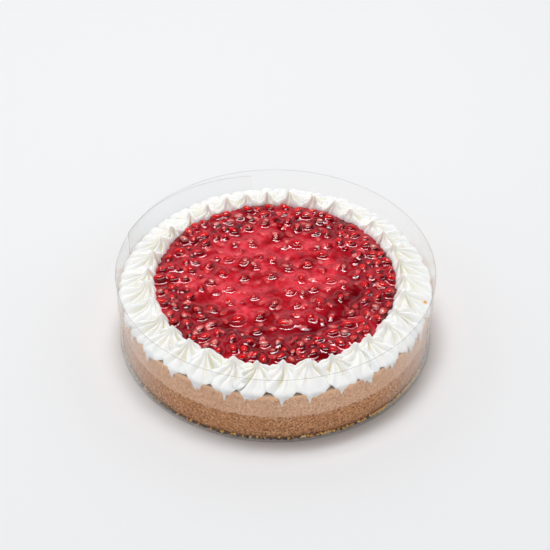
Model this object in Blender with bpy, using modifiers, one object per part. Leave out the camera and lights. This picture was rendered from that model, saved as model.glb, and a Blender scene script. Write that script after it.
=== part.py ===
"""Baked cheesecake, 23 cm across, on a pressed crumb base.

A border of piped cream stars rings a pomegranate jelly topping, and a clear
strip of film stands round the cake with its two ends lapped at the back.

Metres, +Z up. The origin is the centre of the cake's foot, on the surface
that the cake stands on. Angles run anticlockwise from +X, and the front of
the cake faces -Y.
"""

import math
import random

import bmesh
import bpy
from mathutils import Vector

# Pieces that touch keep this much air between their faces
GAP = 0.0003

# The film strip sets the size of everything inside it
COLLAR_RADIUS = 0.1150
COLLAR_HEIGHT = 0.0600
FILM_THICKNESS = 0.00025
FILM_STEP_DEG = 6.0
LAP_START_DEG = 99.5
LAP_LENGTH_DEG = 62.0
LAP_BLEND_DEG = 16.0
LAP_DROP = 0.0045
LAP_DROP_LENGTH_DEG = 44.0

# Crumb base and baked filling
CRUST_RADIUS = 0.1120
CRUST_TOP = 0.0210
CRUST_CHAMFER = 0.0008
FILLING_RADIUS = 0.1117
FILLING_TOP = 0.0417
FILLING_EDGE = 0.0012
CAKE_SEGMENTS = 64

# Jelly topping
JELLY_RADIUS = 0.0853
JELLY_WOBBLE = 0.0002
JELLY_BOTTOM = FILLING_TOP + GAP
JELLY_RIM_TOP = 0.0462
JELLY_MIDDLE_TOP = 0.0458
RIM_RISE = (0.0500, 0.0700)
EDGE_ROUNDING = ((0.0030, JELLY_RIM_TOP), (0.0006, 0.0447), (0.0, 0.0436), (0.0, JELLY_BOTTOM))
JELLY_SPOKES = 40
JELLY_RINGS = (0.034, 0.057, 0.068)
CREASE_RADIUS = 0.0600
CREASE_WIDTH = 0.0060
CREASE_DEPTH = 0.0010
CREASE_FACES_DEG = 320.0
RIPPLE_HEIGHT = 0.0003
RIPPLE_RATE = 100.0

# Pomegranate arils, set half deep in the jelly
ARIL_LENGTH = 0.0092
ARIL_WIDTH = 0.0076
ARIL_TAPER = 0.35
ARIL_FLATNESS = 0.9
ARIL_LIFT = 0.0006
ARIL_PITCH_DEG = 12.0
ARIL_SCALES = (0.85, 1.05)
ARIL_SIDES = 6
ARIL_RINGS = 4
RIM_ARILS = 73
RIM_BAND = (0.0630, 0.0796)
RIM_SPACING = 0.0086
MIDDLE_ARILS = 26
MIDDLE_BAND = (0.0, 0.0600)
MIDDLE_SPACING = 0.0140
ARIL_TRIES = 4000
ARIL_SEED = 11
LARGE_ARILS = ((-0.072, 0.031), (0.015, 0.042), (-0.027, -0.042), (0.007, -0.045), (0.031, -0.023))
LARGE_ARIL_SCALE = 1.2

# Piped cream stars
STAR_COUNT = 34
FIRST_STAR_DEG = 93.3
STAR_JITTER_DEG = 0.8
STAR_SEED = 5
STAR_BASE = FILLING_TOP + GAP
STAR_PEAK = 0.0570
STAR_PEAK_SPREAD = 0.0016
STAR_PEAK_RADIUS = 0.0925
STAR_MIDDLE_RADIUS = 0.0995
STAR_HALF_DEPTH = 0.0140
STAR_HALF_WIDTH = 0.0155
STAR_SQUARENESS = 3.0
STAR_RIDGES = 8
STAR_TWIST_DEG = 9.0
STAR_LEVELS = ((0.14, 0.93), (0.46, 0.62), (0.80, 0.28), (1.0, 0.0))
GROOVE_DEPTH = 0.0028
GROOVE_INSET = 0.14
CREAM_INNER_RADIUS = JELLY_RADIUS + 0.0006
CREAM_OUTER_RADIUS = 0.1137

# One pointed drip of each star hangs over the cake's edge, shaped like a leaf
DRIP_INNER_RADIUS = FILLING_RADIUS + 2 * GAP
DRIP_OUTER_RADIUS = 0.1136
DRIP_TOP = FILLING_TOP + 0.0034
DRIP_SHOULDER = FILLING_TOP + 0.0014
DRIP_HALF_WIDTH = 0.0022
DRIP_SHORTEST = 0.0020
DRIP_LONGEST = 0.0075

parts = bpy.data.collections.new("baked_cheesecake")


def clear_scene():
    """Start from nothing, so that only the cake is left."""
    for item in list(bpy.data.objects):
        bpy.data.objects.remove(item, do_unlink=True)
    bpy.context.scene.collection.children.link(parts)


def make_material(name, colour, roughness, alpha=1.0, transmission=0.0):
    """One Principled material, with colour as linear red, green, blue."""
    made = bpy.data.materials.new(name)
    made.use_nodes = True
    shader = made.node_tree.nodes["Principled BSDF"]
    shader.inputs["Base Color"].default_value = (*colour, 1.0)
    shader.inputs["Roughness"].default_value = roughness
    shader.inputs["Metallic"].default_value = 0.0
    shader.inputs["Alpha"].default_value = alpha
    shader.inputs["Transmission Weight"].default_value = transmission
    made.diffuse_color = (*colour, alpha)
    return made


def make_object(name, mesh, material=None, collection=parts):
    """Put a mesh in the scene under its own name."""
    item = bpy.data.objects.new(name, mesh)
    collection.objects.link(item)
    if material is not None:
        mesh.materials.append(material)
    return item


def mesh_from(shape, name):
    """Turn a bmesh into a mesh with its faces pointing out."""
    bmesh.ops.recalc_face_normals(shape, faces=shape.faces)
    mesh = bpy.data.meshes.new(name)
    shape.to_mesh(mesh)
    shape.free()
    return mesh


def on_circle(radius, degrees, height=0.0):
    """The point at a radius, an angle and a height."""
    angle = math.radians(degrees)
    return Vector((radius * math.cos(angle), radius * math.sin(angle), height))


def turned(name, profile, material):
    """A solid of revolution, from a profile that runs down its outer side."""
    mesh = bpy.data.meshes.new(name)
    points = [(radius, 0.0, height) for radius, height in profile]
    edges = [(i, i + 1) for i in range(len(points) - 1)]
    mesh.from_pydata(points, edges, [])
    item = make_object(name, mesh, material)
    screw = item.modifiers.new("turn", "SCREW")
    screw.steps = CAKE_SEGMENTS
    screw.render_steps = CAKE_SEGMENTS
    screw.use_merge_vertices = True
    screw.merge_threshold = 0.00001
    return item


def loft(rings, tip, name):
    """A closed mesh through rings of equal count, from a tip point down to a flat foot."""
    shape = bmesh.new()
    apex = shape.verts.new(tip)
    loops = [[shape.verts.new(point) for point in ring] for ring in rings]
    count = len(loops[0])
    for i in range(count):
        shape.faces.new((apex, loops[0][i], loops[0][(i + 1) % count]))
    for upper, lower in zip(loops, loops[1:]):
        for i in range(count):
            j = (i + 1) % count
            shape.faces.new((upper[i], lower[i], lower[j], upper[j]))
    shape.faces.new(list(reversed(loops[-1])))
    bmesh.ops.triangulate(shape, faces=shape.faces)
    return mesh_from(shape, name)


def fuse(item, extras):
    """Join a collection of closed shapes onto an object, and drop the sources."""
    union = item.modifiers.new("fuse", "BOOLEAN")
    union.operation = "UNION"
    union.operand_type = "COLLECTION"
    union.collection = extras
    union.solver = "EXACT"
    depsgraph = bpy.context.evaluated_depsgraph_get()
    joined = bpy.data.meshes.new_from_object(item.evaluated_get(depsgraph))
    item.modifiers.remove(union)
    item.data = joined
    for extra in list(extras.objects):
        bpy.data.objects.remove(extra, do_unlink=True)


def largest_piece(mesh):
    """Keep a mesh's main closed body, without the scraps that fusing may leave."""
    shape = bmesh.new()
    shape.from_mesh(mesh)
    bmesh.ops.dissolve_degenerate(shape, edges=shape.edges, dist=0.000005)
    bmesh.ops.triangulate(shape, faces=shape.faces)
    left = set(shape.faces)
    groups = []
    while left:
        stack = [left.pop()]
        group = set(stack)
        while stack:
            face = stack.pop()
            for edge in face.edges:
                for other in edge.link_faces:
                    if other in left:
                        left.remove(other)
                        group.add(other)
                        stack.append(other)
        groups.append(group)
    keep = max(groups, key=len)
    scraps = [face for face in shape.faces if face not in keep]
    bmesh.ops.delete(shape, geom=scraps, context="FACES")
    shape.to_mesh(mesh)
    shape.free()


def make_cake():
    """The crumb base and the baked filling on it."""
    crust_material = make_material("crumb_crust", (0.180, 0.090, 0.045), 0.9)
    filling_material = make_material("baked_filling", (0.440, 0.250, 0.160), 0.75)
    crust = (
        (0.0, CRUST_TOP),
        (CRUST_RADIUS - CRUST_CHAMFER, CRUST_TOP),
        (CRUST_RADIUS, CRUST_TOP - CRUST_CHAMFER),
        (CRUST_RADIUS, CRUST_CHAMFER),
        (CRUST_RADIUS - CRUST_CHAMFER, 0.0),
        (0.0, 0.0),
    )
    foot = CRUST_TOP + GAP
    filling = (
        (0.0, FILLING_TOP),
        (FILLING_RADIUS - FILLING_EDGE, FILLING_TOP),
        (FILLING_RADIUS, FILLING_TOP - FILLING_EDGE),
        (FILLING_RADIUS, foot),
        (0.0, foot),
    )
    turned("crumb_base", crust, crust_material)
    turned("cheesecake_filling", filling, filling_material)


def jelly_height(x, y):
    """The jelly's top surface: a level middle, a creased valley and a fuller rim."""
    radius = math.hypot(x, y)
    rim = min(max((radius - RIM_RISE[0]) / (RIM_RISE[1] - RIM_RISE[0]), 0.0), 1.0)
    level = JELLY_MIDDLE_TOP + (JELLY_RIM_TOP - JELLY_MIDDLE_TOP) * rim
    facing = max(0.0, math.cos(math.atan2(y, x) - math.radians(CREASE_FACES_DEG)))
    crease = CREASE_DEPTH * facing * math.exp(-(((radius - CREASE_RADIUS) / CREASE_WIDTH) ** 2))
    ripple = RIPPLE_HEIGHT * math.sin(RIPPLE_RATE * x + 1.0) * math.cos(RIPPLE_RATE * y)
    return level - crease + ripple


def make_aril(name, x, y, size, heading_deg, pitch_deg, collection):
    """One faceted aril: a six-sided drop, blunt at one end and pinched at the other."""
    shape = bmesh.new()
    bmesh.ops.create_uvsphere(shape, u_segments=ARIL_SIDES, v_segments=ARIL_RINGS, radius=0.5)
    heading = math.radians(heading_deg)
    pitch = math.radians(pitch_deg)
    along = Vector((math.cos(heading) * math.cos(pitch), math.sin(heading) * math.cos(pitch), math.sin(pitch)))
    across = Vector((-math.sin(heading), math.cos(heading), 0.0))
    upward = along.cross(across)
    centre = Vector((x, y, jelly_height(x, y) + ARIL_LIFT))
    for vert in shape.verts:
        width = size * ARIL_WIDTH * (1.0 - ARIL_TAPER * (vert.co.z + 0.5))
        offset = along * (vert.co.z * size * ARIL_LENGTH)
        offset += across * (vert.co.x * width) + upward * (vert.co.y * width * ARIL_FLATNESS)
        vert.co = centre + offset
    return make_object(name, mesh_from(shape, name), None, collection)


def scatter(rng, count, band, spacing, taken):
    """Seeded places in a ring, none nearer to another than the spacing."""
    places = []
    for _ in range(ARIL_TRIES):
        if len(places) == count:
            break
        radius = math.sqrt(rng.uniform(band[0] ** 2, band[1] ** 2))
        angle = rng.uniform(0.0, 2.0 * math.pi)
        x, y = radius * math.cos(angle), radius * math.sin(angle)
        if all(math.hypot(x - a, y - b) > spacing for a, b in taken + places):
            places.append((x, y))
    return places


def make_topping():
    """The jelly disc with its arils, fused into one solid."""
    rng = random.Random(ARIL_SEED)
    rings = []
    for radius in JELLY_RINGS:
        ring = []
        for i in range(JELLY_SPOKES):
            point = on_circle(radius, i * 360.0 / JELLY_SPOKES)
            point.z = jelly_height(point.x, point.y)
            ring.append(point)
        rings.append(ring)
    edge = [JELLY_RADIUS + rng.uniform(-JELLY_WOBBLE, JELLY_WOBBLE) for _ in range(JELLY_SPOKES)]
    for inset, height in EDGE_ROUNDING:
        ring = [on_circle(edge[i] - inset, i * 360.0 / JELLY_SPOKES, height) for i in range(JELLY_SPOKES)]
        rings.append(ring)
    tip = Vector((0.0, 0.0, jelly_height(0.0, 0.0)))
    jelly_material = make_material("pomegranate_jelly", (0.380, 0.012, 0.025), 0.12)
    topping = make_object("pomegranate_topping", loft(rings, tip, "pomegranate_topping"), jelly_material)

    arils = bpy.data.collections.new("arils")
    bpy.context.scene.collection.children.link(arils)
    places = [(x, y, LARGE_ARIL_SCALE) for x, y in LARGE_ARILS]
    taken = list(LARGE_ARILS)
    for count, band, spacing in (
        (RIM_ARILS, RIM_BAND, RIM_SPACING),
        (MIDDLE_ARILS, MIDDLE_BAND, MIDDLE_SPACING),
    ):
        found = scatter(rng, count, band, spacing, taken)
        taken += found
        places += [(x, y, rng.uniform(*ARIL_SCALES)) for x, y in found]
    for number, (x, y, size) in enumerate(places, 1):
        heading = rng.uniform(0.0, 360.0)
        pitch = rng.uniform(-ARIL_PITCH_DEG, ARIL_PITCH_DEG)
        make_aril(f"aril_{number:03d}", x, y, size, heading, pitch, arils)
    fuse(topping, arils)
    largest_piece(topping.data)
    bpy.data.collections.remove(arils)


def reach(direction):
    """How far the rim of the star's foot, a rounded oblong, is from below its peak."""
    near, far = 0.0, 2.0 * STAR_HALF_WIDTH
    for _ in range(24):
        distance = (near + far) / 2.0
        run = distance * math.cos(direction) + STAR_PEAK_RADIUS - STAR_MIDDLE_RADIUS
        side = distance * math.sin(direction)
        spread = abs(run / STAR_HALF_DEPTH) ** STAR_SQUARENESS + abs(side / STAR_HALF_WIDTH) ** STAR_SQUARENESS
        if spread < 1.0:
            near = distance
        else:
            far = distance
    return near


def star_rings(centre_deg, twist, height):
    """Rings of points down a star, two for each ridge: one on its crest, one in the groove."""
    turn = math.radians(centre_deg)
    outward = Vector((math.cos(turn), math.sin(turn), 0.0))
    sideways = Vector((-math.sin(turn), math.cos(turn), 0.0))
    rings = []
    for share, rise in STAR_LEVELS:
        ring = []
        for i in range(2 * STAR_RIDGES):
            groove = i % 2
            direction = twist + i * math.pi / STAR_RIDGES
            distance = share * reach(direction) * (1.0 - GROOVE_INSET * groove)
            point = outward * (STAR_PEAK_RADIUS + distance * math.cos(direction))
            point += sideways * (distance * math.sin(direction))
            radius = min(max(point.length, CREAM_INNER_RADIUS), CREAM_OUTER_RADIUS)
            point *= radius / point.length
            sink = GROOVE_DEPTH * groove * math.sin(math.pi * min(share + 0.1, 1.0))
            point.z = STAR_BASE + height * rise - sink
            ring.append(point)
        rings.append(ring)
    tip = outward * STAR_PEAK_RADIUS
    tip.z = STAR_BASE + height
    return rings, tip


def make_drip(name, degrees, length, collection):
    """A pointed leaf of cream against the film, below the foot of a star's outer ridge."""
    shape = bmesh.new()
    bmesh.ops.create_cube(shape, size=2.0)
    shoulder = math.degrees(DRIP_HALF_WIDTH / DRIP_OUTER_RADIUS)
    corners = {
        (1, 1): (0.0, DRIP_TOP),
        (1, -1): (shoulder, DRIP_SHOULDER),
        (-1, 1): (-shoulder, DRIP_SHOULDER),
        (-1, -1): (0.0, FILLING_TOP - length),
    }
    for vert in shape.verts:
        lean, height = corners[round(vert.co.y), round(vert.co.z)]
        radius = DRIP_OUTER_RADIUS if vert.co.x > 0.0 else DRIP_INNER_RADIUS
        vert.co = on_circle(radius, degrees + lean, height)
    return make_object(name, mesh_from(shape, name), None, collection)


def cut_to_sector(mesh, left_deg, right_deg):
    """Trim a star at the planes between it and its two neighbours."""
    shape = bmesh.new()
    shape.from_mesh(mesh)
    for degrees, side in ((left_deg, 1.0), (right_deg, -1.0)):
        turn = math.radians(degrees)
        normal = Vector((-math.sin(turn), math.cos(turn), 0.0)) * side
        bmesh.ops.bisect_plane(
            shape,
            geom=shape.verts[:] + shape.edges[:] + shape.faces[:],
            dist=0.000001,
            plane_co=normal * (-GAP / 2.0),
            plane_no=normal,
            clear_outer=True,
        )
        rim = [edge for edge in shape.edges if edge.is_boundary]
        bmesh.ops.holes_fill(shape, edges=rim, sides=0)
    bmesh.ops.triangulate(shape, faces=shape.faces)
    bmesh.ops.recalc_face_normals(shape, faces=shape.faces)
    shape.to_mesh(mesh)
    shape.free()


def make_stars():
    """The border of piped cream stars, each its own piece."""
    rng = random.Random(STAR_SEED)
    cream = make_material("whipped_cream", (0.900, 0.880, 0.820), 0.45)
    pitch = 360.0 / STAR_COUNT
    angles = [FIRST_STAR_DEG + i * pitch + rng.uniform(-1.0, 1.0) * STAR_JITTER_DEG for i in range(STAR_COUNT)]
    drips = bpy.data.collections.new("drips")
    bpy.context.scene.collection.children.link(drips)
    for i, centre in enumerate(angles):
        name = f"cream_star_{i + 1:02d}"
        twist = math.radians(rng.uniform(-1.0, 1.0) * STAR_TWIST_DEG)
        height = STAR_PEAK - STAR_BASE - rng.uniform(0.0, STAR_PEAK_SPREAD)
        rings, tip = star_rings(centre, twist, height)
        star = make_object(name, loft(rings, tip, name), cream)
        after = angles[(i + 1) % STAR_COUNT] + (360.0 if i + 1 == STAR_COUNT else 0.0)
        before = angles[i - 1] - (360.0 if i == 0 else 0.0)
        cut_to_sector(star.data, (centre + after) / 2.0, (centre + before) / 2.0)
        foot = rings[-1][0]
        foot_deg = math.degrees(math.atan2(foot.y, foot.x))
        make_drip(f"drip_{i + 1:02d}", foot_deg, rng.uniform(DRIP_SHORTEST, DRIP_LONGEST), drips)
        fuse(star, drips)
        largest_piece(star.data)
    bpy.data.collections.remove(drips)


def film_radius(travel_deg):
    """The strip's outer radius: its first stretch lies inside its own far end."""
    lapped = COLLAR_RADIUS - FILM_THICKNESS - GAP
    out = min(max((travel_deg - LAP_LENGTH_DEG - FILM_STEP_DEG) / LAP_BLEND_DEG, 0.0), 1.0)
    ease = out * out * (3.0 - 2.0 * out)
    return lapped + (COLLAR_RADIUS - lapped) * ease


def make_collar():
    """The clear film strip, one open surface given its thickness inwards."""
    film = make_material("clear_film", (0.930, 0.940, 0.950), 0.06, alpha=0.18, transmission=1.0)
    steps = round((360.0 + LAP_LENGTH_DEG) / FILM_STEP_DEG)
    shape = bmesh.new()
    columns = []
    for i in range(steps + 1):
        travel = i * (360.0 + LAP_LENGTH_DEG) / steps
        short = max(0.0, 1.0 - travel / LAP_DROP_LENGTH_DEG)
        top = COLLAR_HEIGHT - LAP_DROP * short
        degrees = LAP_START_DEG + travel
        low = shape.verts.new(on_circle(film_radius(travel), degrees, 0.0))
        high = shape.verts.new(on_circle(film_radius(travel), degrees, top))
        columns.append((low, high))
    for (low_a, high_a), (low_b, high_b) in zip(columns, columns[1:]):
        shape.faces.new((low_a, low_b, high_b, high_a))
    mesh = bpy.data.meshes.new("acetate_collar")
    shape.to_mesh(mesh)
    shape.free()
    collar = make_object("acetate_collar", mesh, film)
    wall = collar.modifiers.new("thickness", "SOLIDIFY")
    wall.thickness = FILM_THICKNESS
    wall.offset = -1.0
    return collar


clear_scene()
make_cake()
make_topping()
make_stars()
make_collar()
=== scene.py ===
"""The looks of a baked cheesecake with piped cream, pomegranate jelly and a clear film collar.

Metres, +Z up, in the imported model's frame. Angles run anticlockwise from +X,
and the front of the cake faces -Y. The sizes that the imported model's boxes
give are read from them, and the rest are named here.
"""

import math
import random

import bmesh
import bpy
import numpy as np
from mathutils import Matrix, Vector, noise


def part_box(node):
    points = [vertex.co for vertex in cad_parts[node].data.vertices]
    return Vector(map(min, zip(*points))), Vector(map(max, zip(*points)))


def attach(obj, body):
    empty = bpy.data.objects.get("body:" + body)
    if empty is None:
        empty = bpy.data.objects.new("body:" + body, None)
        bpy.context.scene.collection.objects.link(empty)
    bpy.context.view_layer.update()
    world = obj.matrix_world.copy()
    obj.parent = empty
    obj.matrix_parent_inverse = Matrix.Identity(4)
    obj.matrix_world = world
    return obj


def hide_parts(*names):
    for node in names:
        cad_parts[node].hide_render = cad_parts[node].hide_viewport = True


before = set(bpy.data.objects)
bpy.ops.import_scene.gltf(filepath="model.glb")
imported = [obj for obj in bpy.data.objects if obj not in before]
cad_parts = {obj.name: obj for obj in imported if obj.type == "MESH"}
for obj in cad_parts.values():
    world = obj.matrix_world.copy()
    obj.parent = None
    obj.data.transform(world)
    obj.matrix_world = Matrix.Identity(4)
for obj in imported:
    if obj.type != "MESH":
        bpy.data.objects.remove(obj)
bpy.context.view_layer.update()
BODY = "root"

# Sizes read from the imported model
CRUST_LOW, CRUST_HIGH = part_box("crumb_base")
FILLING_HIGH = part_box("cheesecake_filling")[1]
JELLY_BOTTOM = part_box("pomegranate_topping")[0].z
COLLAR_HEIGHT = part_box("acetate_collar")[1].z
CRUST_RADIUS = CRUST_HIGH.x
CRUST_TOP = CRUST_HIGH.z
FILLING_RADIUS = FILLING_HIGH.x
FILLING_TOP = FILLING_HIGH.z
COLLAR_RADIUS = 0.1150
GAP = 0.0003

# The camera that took the photograph, fitted to the collar's two circles
LOOK_AT = Vector((-0.0005, 0.0001, 0.0518))
CAMERA_DISTANCE = 1.0707
CAMERA_ELEVATION_DEG = 41.23
CAMERA_ROLL_DEG = 0.45
CAMERA_LENS_MM = 97.0
SENSOR_MM = 36.0

# Crumb and filling: their colours, and the relief of their sides as (rate, depth)
CRUMB_BROWN = (0.57, 0.223, 0.075)
CRUMB_TAN = (0.76, 0.38, 0.165)
CRUMB_PALE = (0.90, 0.56, 0.29)
CRUMB_STOPS = ((0.36, (0.22, 0.070, 0.019)), (0.46, CRUMB_BROWN), (0.56, CRUMB_TAN), (0.68, CRUMB_PALE))
CRUMB_SPECK = (0.11, 0.036, 0.010)
CRUMB_GOLD = (0.95, 0.62, 0.30)
# Painted shade: the crumb turns near black at the crust's foot, fading out over these heights above it
CRUMB_FOOT_SHADE = (0.045, 0.014, 0.004)
FOOT_SHADE_HEIGHTS = (0.0004, 0.0034)
CRUMB_RELIEF = ((650.0, 0.00018), (1500.0, 0.00012))
CRUMB_CORNER = 0.0001
FILLING_STOPS = ((0.36, (0.57, 0.285, 0.155)), (0.50, (0.80, 0.455, 0.275)), (0.64, (0.96, 0.66, 0.44)))
FILLING_CLOUD = (0.66, 0.36, 0.21)
FILLING_BROWNED = (0.92, 0.57, 0.33)
# Painted shade on the filling's top, which shows only in the recesses under the cream
FILLING_SHADED_TOP = (0.48, 0.33, 0.23)
FILLING_RELIEF = ((420.0, 0.00020), (1300.0, 0.00014))
FILLING_CORNER = 0.0002
FILLING_SWELL = 0.0002
FILLING_LIFT = 0.00002
BROWNED_DROP = 0.0032
CAKE_COLUMNS = 960
CAKE_ROW = 0.0008
LAYER_SUPPORT = 0.00015
TOP_RINGS = (0.006, 0.0025)
DENT_REACH = 0.003

# Jelly
JELLY_RIM_TOP = 0.0462
JELLY_MIDDLE_TOP = 0.0458
RIM_RISE = (0.0500, 0.0700)
CREASE_RADIUS = 0.0600
CREASE_WIDTH = 0.0060
CREASE_DEPTH = 0.0010
CREASE_FACES_DEG = 320.0
RIPPLE_HEIGHT = 0.0003
RIPPLE_RATE = 100.0
JELLY_SPREAD = 0.0878
JELLY_GRID = 310
# The jelly grows darker red towards its thicker rim
THICK_FROM = 0.044
THICK_FULL = 0.078
THICK_RIM = 0.50
# Painted shade towards the front-right side of the jelly, and along its crease
SHADE_SIDE = 0.024
SHADE_FACES_DEG = 305.0
CREASE_SHADE = 0.30
# Painted shade beside each aril: weaker in the middle, shifted towards the front-right
HALO_MIDDLE = 0.55
HALO_FROM = 0.045
HALO_SPAN = 0.02
SHADE_SHIFT = (0.0010, -0.0015)
SHADE_REACH = 1.1
SWELL_HEIGHT = 0.00055
SWELL_RATE = 75.0
COAT_CLIMB = 0.55
COAT_REACH = 0.0013
COAT_EDGE = 0.85
COAT_FALL = 1.3
COAT_MOST = 0.003
JELLY_SPOKES = 40
JELLY_WOBBLE = 0.0002
JELLY_THIN = ((0.34, (0.34, 0.004, 0.008)), (0.50, (0.68, 0.022, 0.038)), (0.66, (0.92, 0.060, 0.084)))
# The colour of thicker jelly, which the painted shade also takes
JELLY_THICKER_AND_SHADED = ((0.36, (0.14, 0.0004, 0.002)), (0.50, (0.27, 0.001, 0.007)), (0.64, (0.44, 0.004, 0.014)))
JELLY_PULP = ((0.38, (0.74, 0.020, 0.030)), (0.54, (0.92, 0.12, 0.12)), (0.70, (1.0, 0.46, 0.42)))
# The darkest painted shade, beside the arils and in the crease
JELLY_DARKEST_SHADE = (0.04, 0.0, 0.001)
JELLY_SPECKLE = (0.16, 0.0, 0.002)
JELLY_TURN = 0.62

# Arils
ARIL_LENGTH = 0.0092
ARIL_WIDTH = 0.0070
ARIL_TAPER = 0.35
ARIL_FACETS = 0.05
ARIL_LIFT = -0.0002
MIDDLE_LIFT = -0.0010
ARIL_PITCH_DEG = 12.0
ARIL_SCALES = (0.85, 1.05)
ARIL_TRIES = 4000
ARIL_SEED = 11
RIM_ARILS = 73
RIM_BAND = (0.0630, 0.0796)
RIM_SPACING = 0.0086
MIDDLE_ARILS = 26
MIDDLE_BAND = (0.0, 0.0600)
MIDDLE_SPACING = 0.0140
LARGE_ARILS = ((-0.072, 0.031), (0.015, 0.042), (-0.027, -0.042), (0.007, -0.045), (0.031, -0.023))
LARGE_ARIL_SCALE = 1.2
ARIL_BODY = ((0.36, (0.22, 0.001, 0.003)), (0.50, (0.52, 0.003, 0.008)), (0.64, (0.90, 0.014, 0.016)))
# Painted glow of light through the flesh, paling to the seed's pink
ARIL_GLOW = ((0.46, (0.95, 0.004, 0.006)), (0.60, (1.0, 0.04, 0.035)), (0.72, (1.0, 0.42, 0.38)))

# Smaller arils between them, as (count, band, spacing), and the seeds that show in all of them
EXTRA_SEED = 23
EDGE_FROM = 0.0812
EXTRA_ARILS = ((44, (EDGE_FROM, 0.0846), 0.0066), (36, (0.0620, 0.0800), 0.0066), (22, (0.0, 0.0620), 0.0085))
EXTRA_SCALES = (0.64, 1.06)
EXTRA_LIFTS = (-0.0020, -0.0004)
EXTRA_PITCH_DEG = 20.0
RIM_LIFT = 0.0010
# Where the pale seed and the painted glow lie in each aril, and the share of it left on the underside
CORE_PLACE = (-0.0006, -0.0006)
CORE_SPREAD = (0.0022, 0.0033)
CORE_BELOW = 0.4
SEED_RISE = 0.0007
SEED_LENGTH = 0.66
SEED_WIDTH = 0.52
SEED_STOPS = ((0.40, (1.0, 0.03, 0.02)), (0.70, (1.0, 0.25, 0.20)))

# Arils sunk in the jelly
SUNK_COUNT = 130
SUNK_BAND = (0.0, 0.0800)
SUNK_SPACING = 0.0080
SUNK_SCALES = (0.8, 1.1)
SUNK_STRENGTHS = (0.4, 1.0)
SUNK_HALVES = (0.36, 0.27)
SUNK_EDGE = 2.6
SUNK_SHARE = 0.90
SUNK_RISE = 0.0007
SUNK_FALL = 1.1

# Cream stars
STAR_COUNT = 34
FIRST_STAR_DEG = 93.3
STAR_JITTER_DEG = 0.8
STAR_SEED = 5
STAR_BASE = FILLING_TOP + GAP
STAR_PEAK = 0.0570
STAR_PEAK_SPREAD = 0.0016
STAR_PEAK_RADIUS = 0.0925
STAR_MIDDLE_RADIUS = 0.0995
STAR_HALF_DEPTH = 0.0140
STAR_HALF_WIDTH = 0.0155
STAR_SQUARENESS = 3.0
STAR_RIDGES = 8
STAR_FAN = 0.36
STAR_TWIST_DEG = 9.0
STAR_COLUMNS = 16 * STAR_RIDGES
STAR_ROWS = 26
STAR_ROW_POWER = 1.25
STAR_TIP_RADII = (0.0020, 0.0034)
STAR_TIP_POWERS = (1.7, 3.4)
STAR_TIP_SHARES = (0.28, 0.44)
STAR_LEAN = (0.0012, 0.0028)
STAR_CURL = (-0.20, 0.90)
STAR_SPACING = 0.24
STAR_OUTER_POWER = 1.35
STAR_SIDE_POWER = 2.9
STAR_FOOT = 0.0012
STAR_FOOT_SHARE = 0.1
STAR_LUMP = 0.0006
LUMP_RATE = 190.0
RIDGE_LENGTHS = (0.92, 1.05)
OUTWARD_FROM = 0.4
VALLEY_POWER = 1.9
VALLEY_SIZES = (0.35, 1.5)
GROOVE_DEPTH = 0.0042
GROOVE_START = 0.42
GROOVE_POWER = 1.2
GROOVE_LEAVES = 0.76
GROOVE_INSET = 0.07
INNER_INSET = 0.20
# Where along a star the painted groove shade fades in and out
SHADE_START = 0.15
SHADE_END = 0.75
SHADE_FADE = 0.3
CREAM_INNER_RADIUS = 0.0842
CREAM_OUTER_RADIUS = 0.1139
CREAM_RIDGE = (0.965, 0.96, 0.93)
# Painted warm shade deep in the grooves
CREAM_GROOVE_SHADE = (0.95, 0.91, 0.72)

# What hangs from a star's outer foot: one long drip, one on each side of it, and a frill
DRIP_SHORTEST = 0.0020
DRIP_LONGEST = 0.0075
DRIP_EXTRA = 0.0036
DRIP_HALF_WIDTH = 0.0021
DRIP_WIDTHS = (0.9, 1.5)
DRIP_POWER = 1.3
SIDE_DRIP_DEG = (1.6, 3.0)
SIDE_DRIP_LENGTHS = (0.0020, 0.0062)
SIDE_DRIP_WIDTHS = (0.7, 1.3)
SKIRT_LENGTHS = (0.0014, 0.0036)
SKIRT_HALF_WIDTH = 0.0060
RUFFLE_SIZE = 1.8
RUFFLE_RATE = 340.0
HANG_BLEND = 0.0008
ARCH_CUT = 0.11
ARCH_DEG = (2.9, 4.4)
ARCH_SIZES = (0.15, 1.0)
ARCH_BLEND_DEG = 1.4
ARCH_UNDERCUT = 0.0040
ARCH_FRONT = (0.05, 0.45)
LIFT_LEAST = 0.0004
LIP_HEIGHT = 0.0003
RIM_STEP = 0.0001
FLAT_STEP = 0.00001
FOOT_STEP = 0.0010
UNDER_RINGS = 5

# Loose crumbs, as (count, sizes, distances past the crust, heights)
CRUMB_SEED = 41
FOOT_CRUMBS = (1300, (0.6, 1.0), (0.0006, 0.0015), (0.0, 0.0003))
GOLDEN_CRUMBS = (340, (1.3, 2.5), (0.0012, 0.0017), (0.0008, 0.0020))
CRUMB_HALF = 0.0005
# The part of the golden ones that lies anywhere, and where the others lie along the foot
GOLDEN_SPREAD = 0.6
GOLDEN_ARC_DEG = (-84.0, -22.0)
# Golden ones stuck in the cream near the film: angle, radius, height and sizes
LODGED_CRUMBS = (
    (-10.5, 0.1088, 0.0440, (3.4, 2.4, 3.8)),
    (-16.0, 0.1124, 0.0432, (0.7, 1.3, 1.8)),
    (181.5, 0.1122, 0.0431, (0.7, 1.2, 1.7)),
)
# Real crumbs at the foot, coloured near black so that they also stand in as painted shade in the gap under
# the film
DARK_CRUMB_STOPS = ((0.40, (0.020, 0.008, 0.004)), (0.55, (0.10, 0.042, 0.016)), (0.68, (0.28, 0.14, 0.06)))
GOLDEN_CRUMB_STOPS = ((0.35, (0.90, 0.42, 0.06)), (0.50, (1.0, 0.60, 0.12)), (0.64, (1.0, 0.80, 0.40)))

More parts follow.
